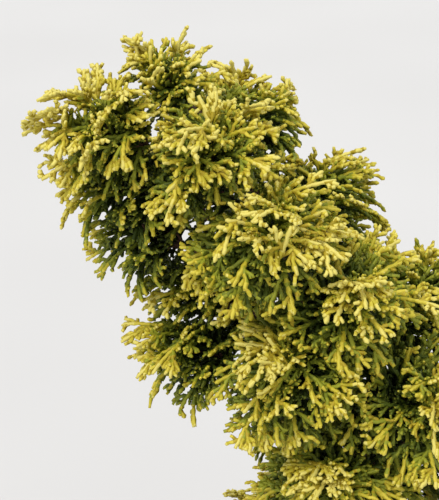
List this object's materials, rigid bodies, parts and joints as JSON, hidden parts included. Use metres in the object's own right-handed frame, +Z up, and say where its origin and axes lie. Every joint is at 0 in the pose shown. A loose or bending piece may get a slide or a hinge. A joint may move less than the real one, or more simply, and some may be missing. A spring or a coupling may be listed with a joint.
{
  "type": "potted conifer",
  "caption": "Dwarf golden false cypress that leans out of a plain clay pot: trunk, boughs and masses of fan sprays.",
  "frame": {"origin": "middle of the pot's flat underside", "axes": "+Z up along the pot's axis; the crown leans towards -X at its top, and -Y is the side the picture shows"},
  "size_m": [0.2166, 0.1834, 0.4257],
  "materials": {
    "foliage": "matte",
    "bark": "rough",
    "pot": "matte",
    "soil": "rough"
  },
  "bodies": {
    "root": {"bough_back_left": "bark", "bough_back_low": "bark", "bough_back_middle": "bark", "bough_back_upper": "bark", "bough_bottom_front": "bark", "bough_front_centre": "bark", "bough_front_right": "bark", "bough_left_lower": "bark", "bough_left_middle": "bark", "bough_left_upper": "bark", "bough_low_left_back": "bark", "bough_lower_front": "bark", "bough_lower_left": "bark", "bough_near_left": "bark", "bough_right_back": "bark", "bough_right_front_low": "bark", "bough_right_low": "bark", "bough_right_shoulder": "bark", "bough_right_side": "bark", "bough_skirt_back": "bark", "bough_skirt_back_left": "bark", "bough_skirt_front": "bark", "bough_skirt_front_right": "bark", "bough_skirt_left": "bark", "bough_skirt_right": "bark", "bough_top_back": "bark", "bough_top_front": "bark", "bough_top_right": "bark", "mass_back_left": "foliage", "mass_back_low": "foliage", "mass_back_middle": "foliage", "mass_back_upper": "foliage", "mass_bottom_front": "foliage", "mass_front_centre": "foliage", "mass_front_right": "foliage", "mass_leader_tip": "foliage", "mass_left_lower": "foliage", "mass_left_middle": "foliage", "mass_left_upper": "foliage", "mass_low_left_back": "foliage", "mass_lower_front": "foliage", "mass_lower_left": "foliage", "mass_near_left": "foliage", "mass_right_back": "foliage", "mass_right_front_low": "foliage", "mass_right_low": "foliage", "mass_right_shoulder": "foliage", "mass_right_side": "foliage", "mass_skirt_back": "foliage", "mass_skirt_back_left": "foliage", "mass_skirt_front": "foliage", "mass_skirt_front_right": "foliage", "mass_skirt_left": "foliage", "mass_skirt_right": "foliage", "mass_top_back": "foliage", "mass_top_front": "foliage", "mass_top_right": "foliage", "pot": "pot", "soil": "soil", "trunk": "bark"}
  },
  "joints": []
}
